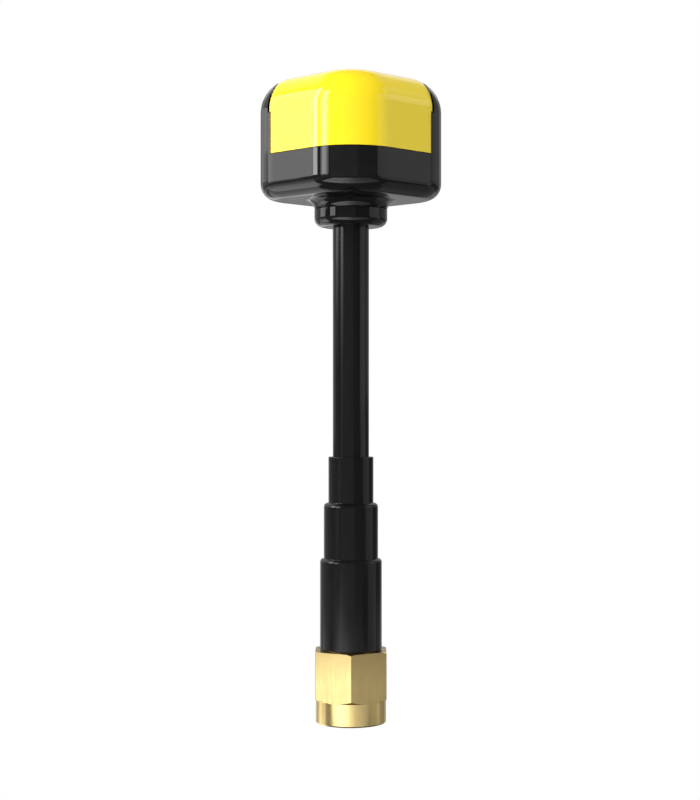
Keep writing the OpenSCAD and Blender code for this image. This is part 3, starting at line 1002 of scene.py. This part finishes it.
def dress(material, *names):
    """Give a finish to pieces or carried-over solids, by assigning to their material slots."""
    for name in names:
        piece = bpy.data.objects[name]
        if not piece.data.materials:
            piece.data.materials.append(material)
        for slot in piece.material_slots:
            slot.material = material
    print(material.name, "on", ", ".join(names))


# %% [markdown]
# Both head pieces are moulded in polished tools. The yellow one carries a dense pigment, so its
# colour is nearly even, with only a slow drift in tone and a fine softness that takes the mirror
# edge off its reflections. The black one is a plastic with carbon in it. Its reflections look
# stronger because nothing pale scatters back from under its surface.

# %% Yellow and black moulded plastic
yellow = Finish("yellow_moulded_plastic", 0.13, ior=1.6)
yellow.colours(yellow.spread(yellow.noise(0.35), 0, 1), (0.93, 0.715, 0.016), (0.92, 0.7, 0.02))
yellow.roughness(yellow.spread(yellow.noise(2.2, 4), 0.04, 0.07))
yellow.bump(yellow.noise(7, 3), 0.06, 0.01)
dress(yellow.material, "top_cover_shell")

black = Finish("black_moulded_plastic", 0.11, ior=1.5)
black.colours(black.spread(black.noise(0.5), 0, 1), (0.005, 0.005, 0.0053), (0.007, 0.007, 0.0073))
black.roughness(black.spread(black.noise(2.6, 4), 0.03, 0.06))
black.bump(black.noise(8, 3), 0.05, 0.01)
dress(black.material, "base_shell_tub", "neck_collar_turned")

# %% [markdown]
# The jacket leaves its die with faint lines along its length, so its noise is stretched that way.
# The shrunk tube is softer: its gloss is broken by fine pores, and slow waves show where it gripped
# what lies under it.

# %% Cable jacket and shrunk tube
sheath = Finish("drawn_cable_jacket", 0.16, ior=1.48, stretch=(1, 1, 0.03))
streaks = sheath.noise(3, 3, sheath.stretched)
sheath.colours(sheath.spread(streaks, 0, 1), (0.0045, 0.0045, 0.0048), (0.0065, 0.0065, 0.0068))
sheath.roughness(sheath.spread(streaks, 0.08, 0.14))
sheath.bump(streaks, 0.08, 0.012)
dress(sheath.material, "cable_jacket_drawn")

shrunk = Finish("shrunk_tube", 0.3, ior=1.42, stretch=(1, 1, 0.12))
pores = shrunk.noise(14, 3)
waves = shrunk.noise(0.8, 2, shrunk.stretched)
shrunk.colours(shrunk.spread(waves, 0, 1), (0.0045, 0.0045, 0.0046), (0.0065, 0.0065, 0.0066))
shrunk.roughness(shrunk.spread(shrunk.sum(pores, waves), 0.12, 0.21, 0.7, 1.3))
shrunk.bump(shrunk.sum(shrunk.sum(pores, 0.15, "MULTIPLY"), waves), 0.06, 0.03)
dress(shrunk.material, "strain_sleeve_shrunk", "inner_sleeve")

# %% [markdown]
# The gold is a thin bright plating, so it shows the marks of the metal under it. Inside the radius
# of the flats the piece was turned, and fine rings run round it; outside, on the flats themselves,
# the lines of the drawn bar run along it. A mask on the distance from the axis chooses between
# them.

# %% Gold plating
gold = Finish("gold_plating", 0.14, metallic=1.0, stretch=(1, 1, 0.06))
rings = gold.noise(1.0, 3, gold.mapped((0.35, 0.35, 14)))
drawn = gold.noise(5, 3, gold.stretched)
on_flats = gold.sum(gold.radius(), SKIRT_R + 0.02, "GREATER_THAN")
marks = gold.tree.nodes.new("ShaderNodeMix")
gold.tree.links.new(on_flats, marks.inputs["Factor"])
gold.tree.links.new(rings, marks.inputs["A"])
gold.tree.links.new(drawn, marks.inputs["B"])
tarnish = gold.noise(0.9, 3)
gold.colours(gold.spread(tarnish, 0, 1), (0.955, 0.735, 0.325), (0.925, 0.700, 0.295))
gold.roughness(gold.spread(marks.outputs[0], 0.19, 0.23))
gold.bump(marks.outputs[0], 0.02, 0.01)
dress(gold.material, "coupling_nut_turned", "connector_body_turned", "centre_pin_turned",
      "crimp_ferrule")

# %% [markdown]
# The rest is seen only through the plug's mouth or not at all, but each piece still gets what it is
# made of: waxy white fluoropolymer, soft red-brown silicone, cured glue, and glass-epoxy boards
# with a weave under their green.

# %% Plastics and rubber inside
waxy = Finish("waxy_fluoropolymer", 0.42, ior=1.38)
waxy.colours(waxy.spread(waxy.noise(1.5), 0, 1), (0.82, 0.81, 0.77), (0.88, 0.87, 0.84))
waxy.roughness(waxy.spread(waxy.noise(6, 3), 0.36, 0.5))
waxy.bump(waxy.noise(12, 2), 0.1, 0.01)
dress(waxy.material, "connector_insulator_turned", "cable_dielectric", "feed_spacer")

glue = Finish("cured_glue", 0.2, ior=1.52)
glue.colours(glue.spread(glue.noise(1.2), 0, 1), (0.55, 0.52, 0.42), (0.72, 0.69, 0.6))
glue.roughness(glue.spread(glue.noise(3), 0.12, 0.3))
glue.bump(glue.noise(2.5, 2), 0.3, 0.05)
dress(glue.material, "glue_bead")

rubber = Finish("red_silicone", 0.55, ior=1.41)
rubber.colours(rubber.spread(rubber.noise(2), 0, 1), (0.40, 0.055, 0.018), (0.47, 0.075, 0.025))
rubber.roughness(rubber.spread(rubber.noise(9, 3), 0.48, 0.64))
rubber.bump(rubber.noise(14, 3), 0.15, 0.01)
dress(rubber.material, "gasket_moulded")

board = Finish("green_circuit_board", 0.35, ior=1.5)
warp = board.noise(1, 1, board.mapped((2.5, 0.2, 0.2)))
weft = board.noise(1, 1, board.mapped((0.2, 2.5, 0.2)))
weave = board.sum(warp, weft)
board.colours(board.spread(weave, 0, 1, 0.75, 1.25), (0.008, 0.052, 0.018), (0.016, 0.085, 0.03))
board.roughness(board.spread(weave, 0.28, 0.42, 0.75, 1.25))
board.bump(weave, 0.15, 0.02)
dress(board.material, "lower_board", "upper_board")

# %% [markdown]
# The metals differ only in their two tones, the range of their gloss, and how deep and how
# stretched their marks are, so one helper makes bare copper, bright solder, a soaked braid,
# silvered wire and dull spring bronze.

# %% Metals inside
def metal(name, one, other, smooth, rough, bump_depth, stretch=(1, 1, 1), per_mm=3):
    """A bare metal with drawn or cast marks and a little variation in tone."""
    made = Finish(name, (smooth + rough) / 2, metallic=1.0, stretch=stretch)
    marks = made.noise(per_mm, 3, made.stretched)
    made.colours(made.spread(made.noise(0.8, 3), 0, 1), one, other)
    made.roughness(made.spread(marks, smooth, rough))
    made.bump(marks, 0.15, bump_depth)
    return made.material


dress(metal("bare_copper", (0.83, 0.40, 0.22), (0.62, 0.27, 0.15), 0.22, 0.36, 0.01, (1, 1, 0.1)),
      "radiator_arm_1", "radiator_arm_2", "radiator_arm_3", "radiator_arm_4")
dress(metal("bright_solder", (0.72, 0.72, 0.70), (0.60, 0.60, 0.59), 0.14, 0.3, 0.02, per_mm=2),
      "shield_solder", "feed_solder")
dress(metal("soaked_braid", (0.66, 0.66, 0.65), (0.5, 0.5, 0.5), 0.25, 0.45, 0.04, (1, 1, 0.5), 5),
      "cable_braid")
dress(metal("silvered_wire", (0.86, 0.85, 0.82), (0.78, 0.77, 0.74), 0.12, 0.22, 0.01,
            (1, 1, 0.05)),
      "cable_core")
dress(metal("spring_bronze", (0.62, 0.42, 0.22), (0.50, 0.34, 0.18), 0.26, 0.4, 0.01),
      "retaining_ring")
print("finishes:", sorted(m.name for m in bpy.data.materials if m.users))
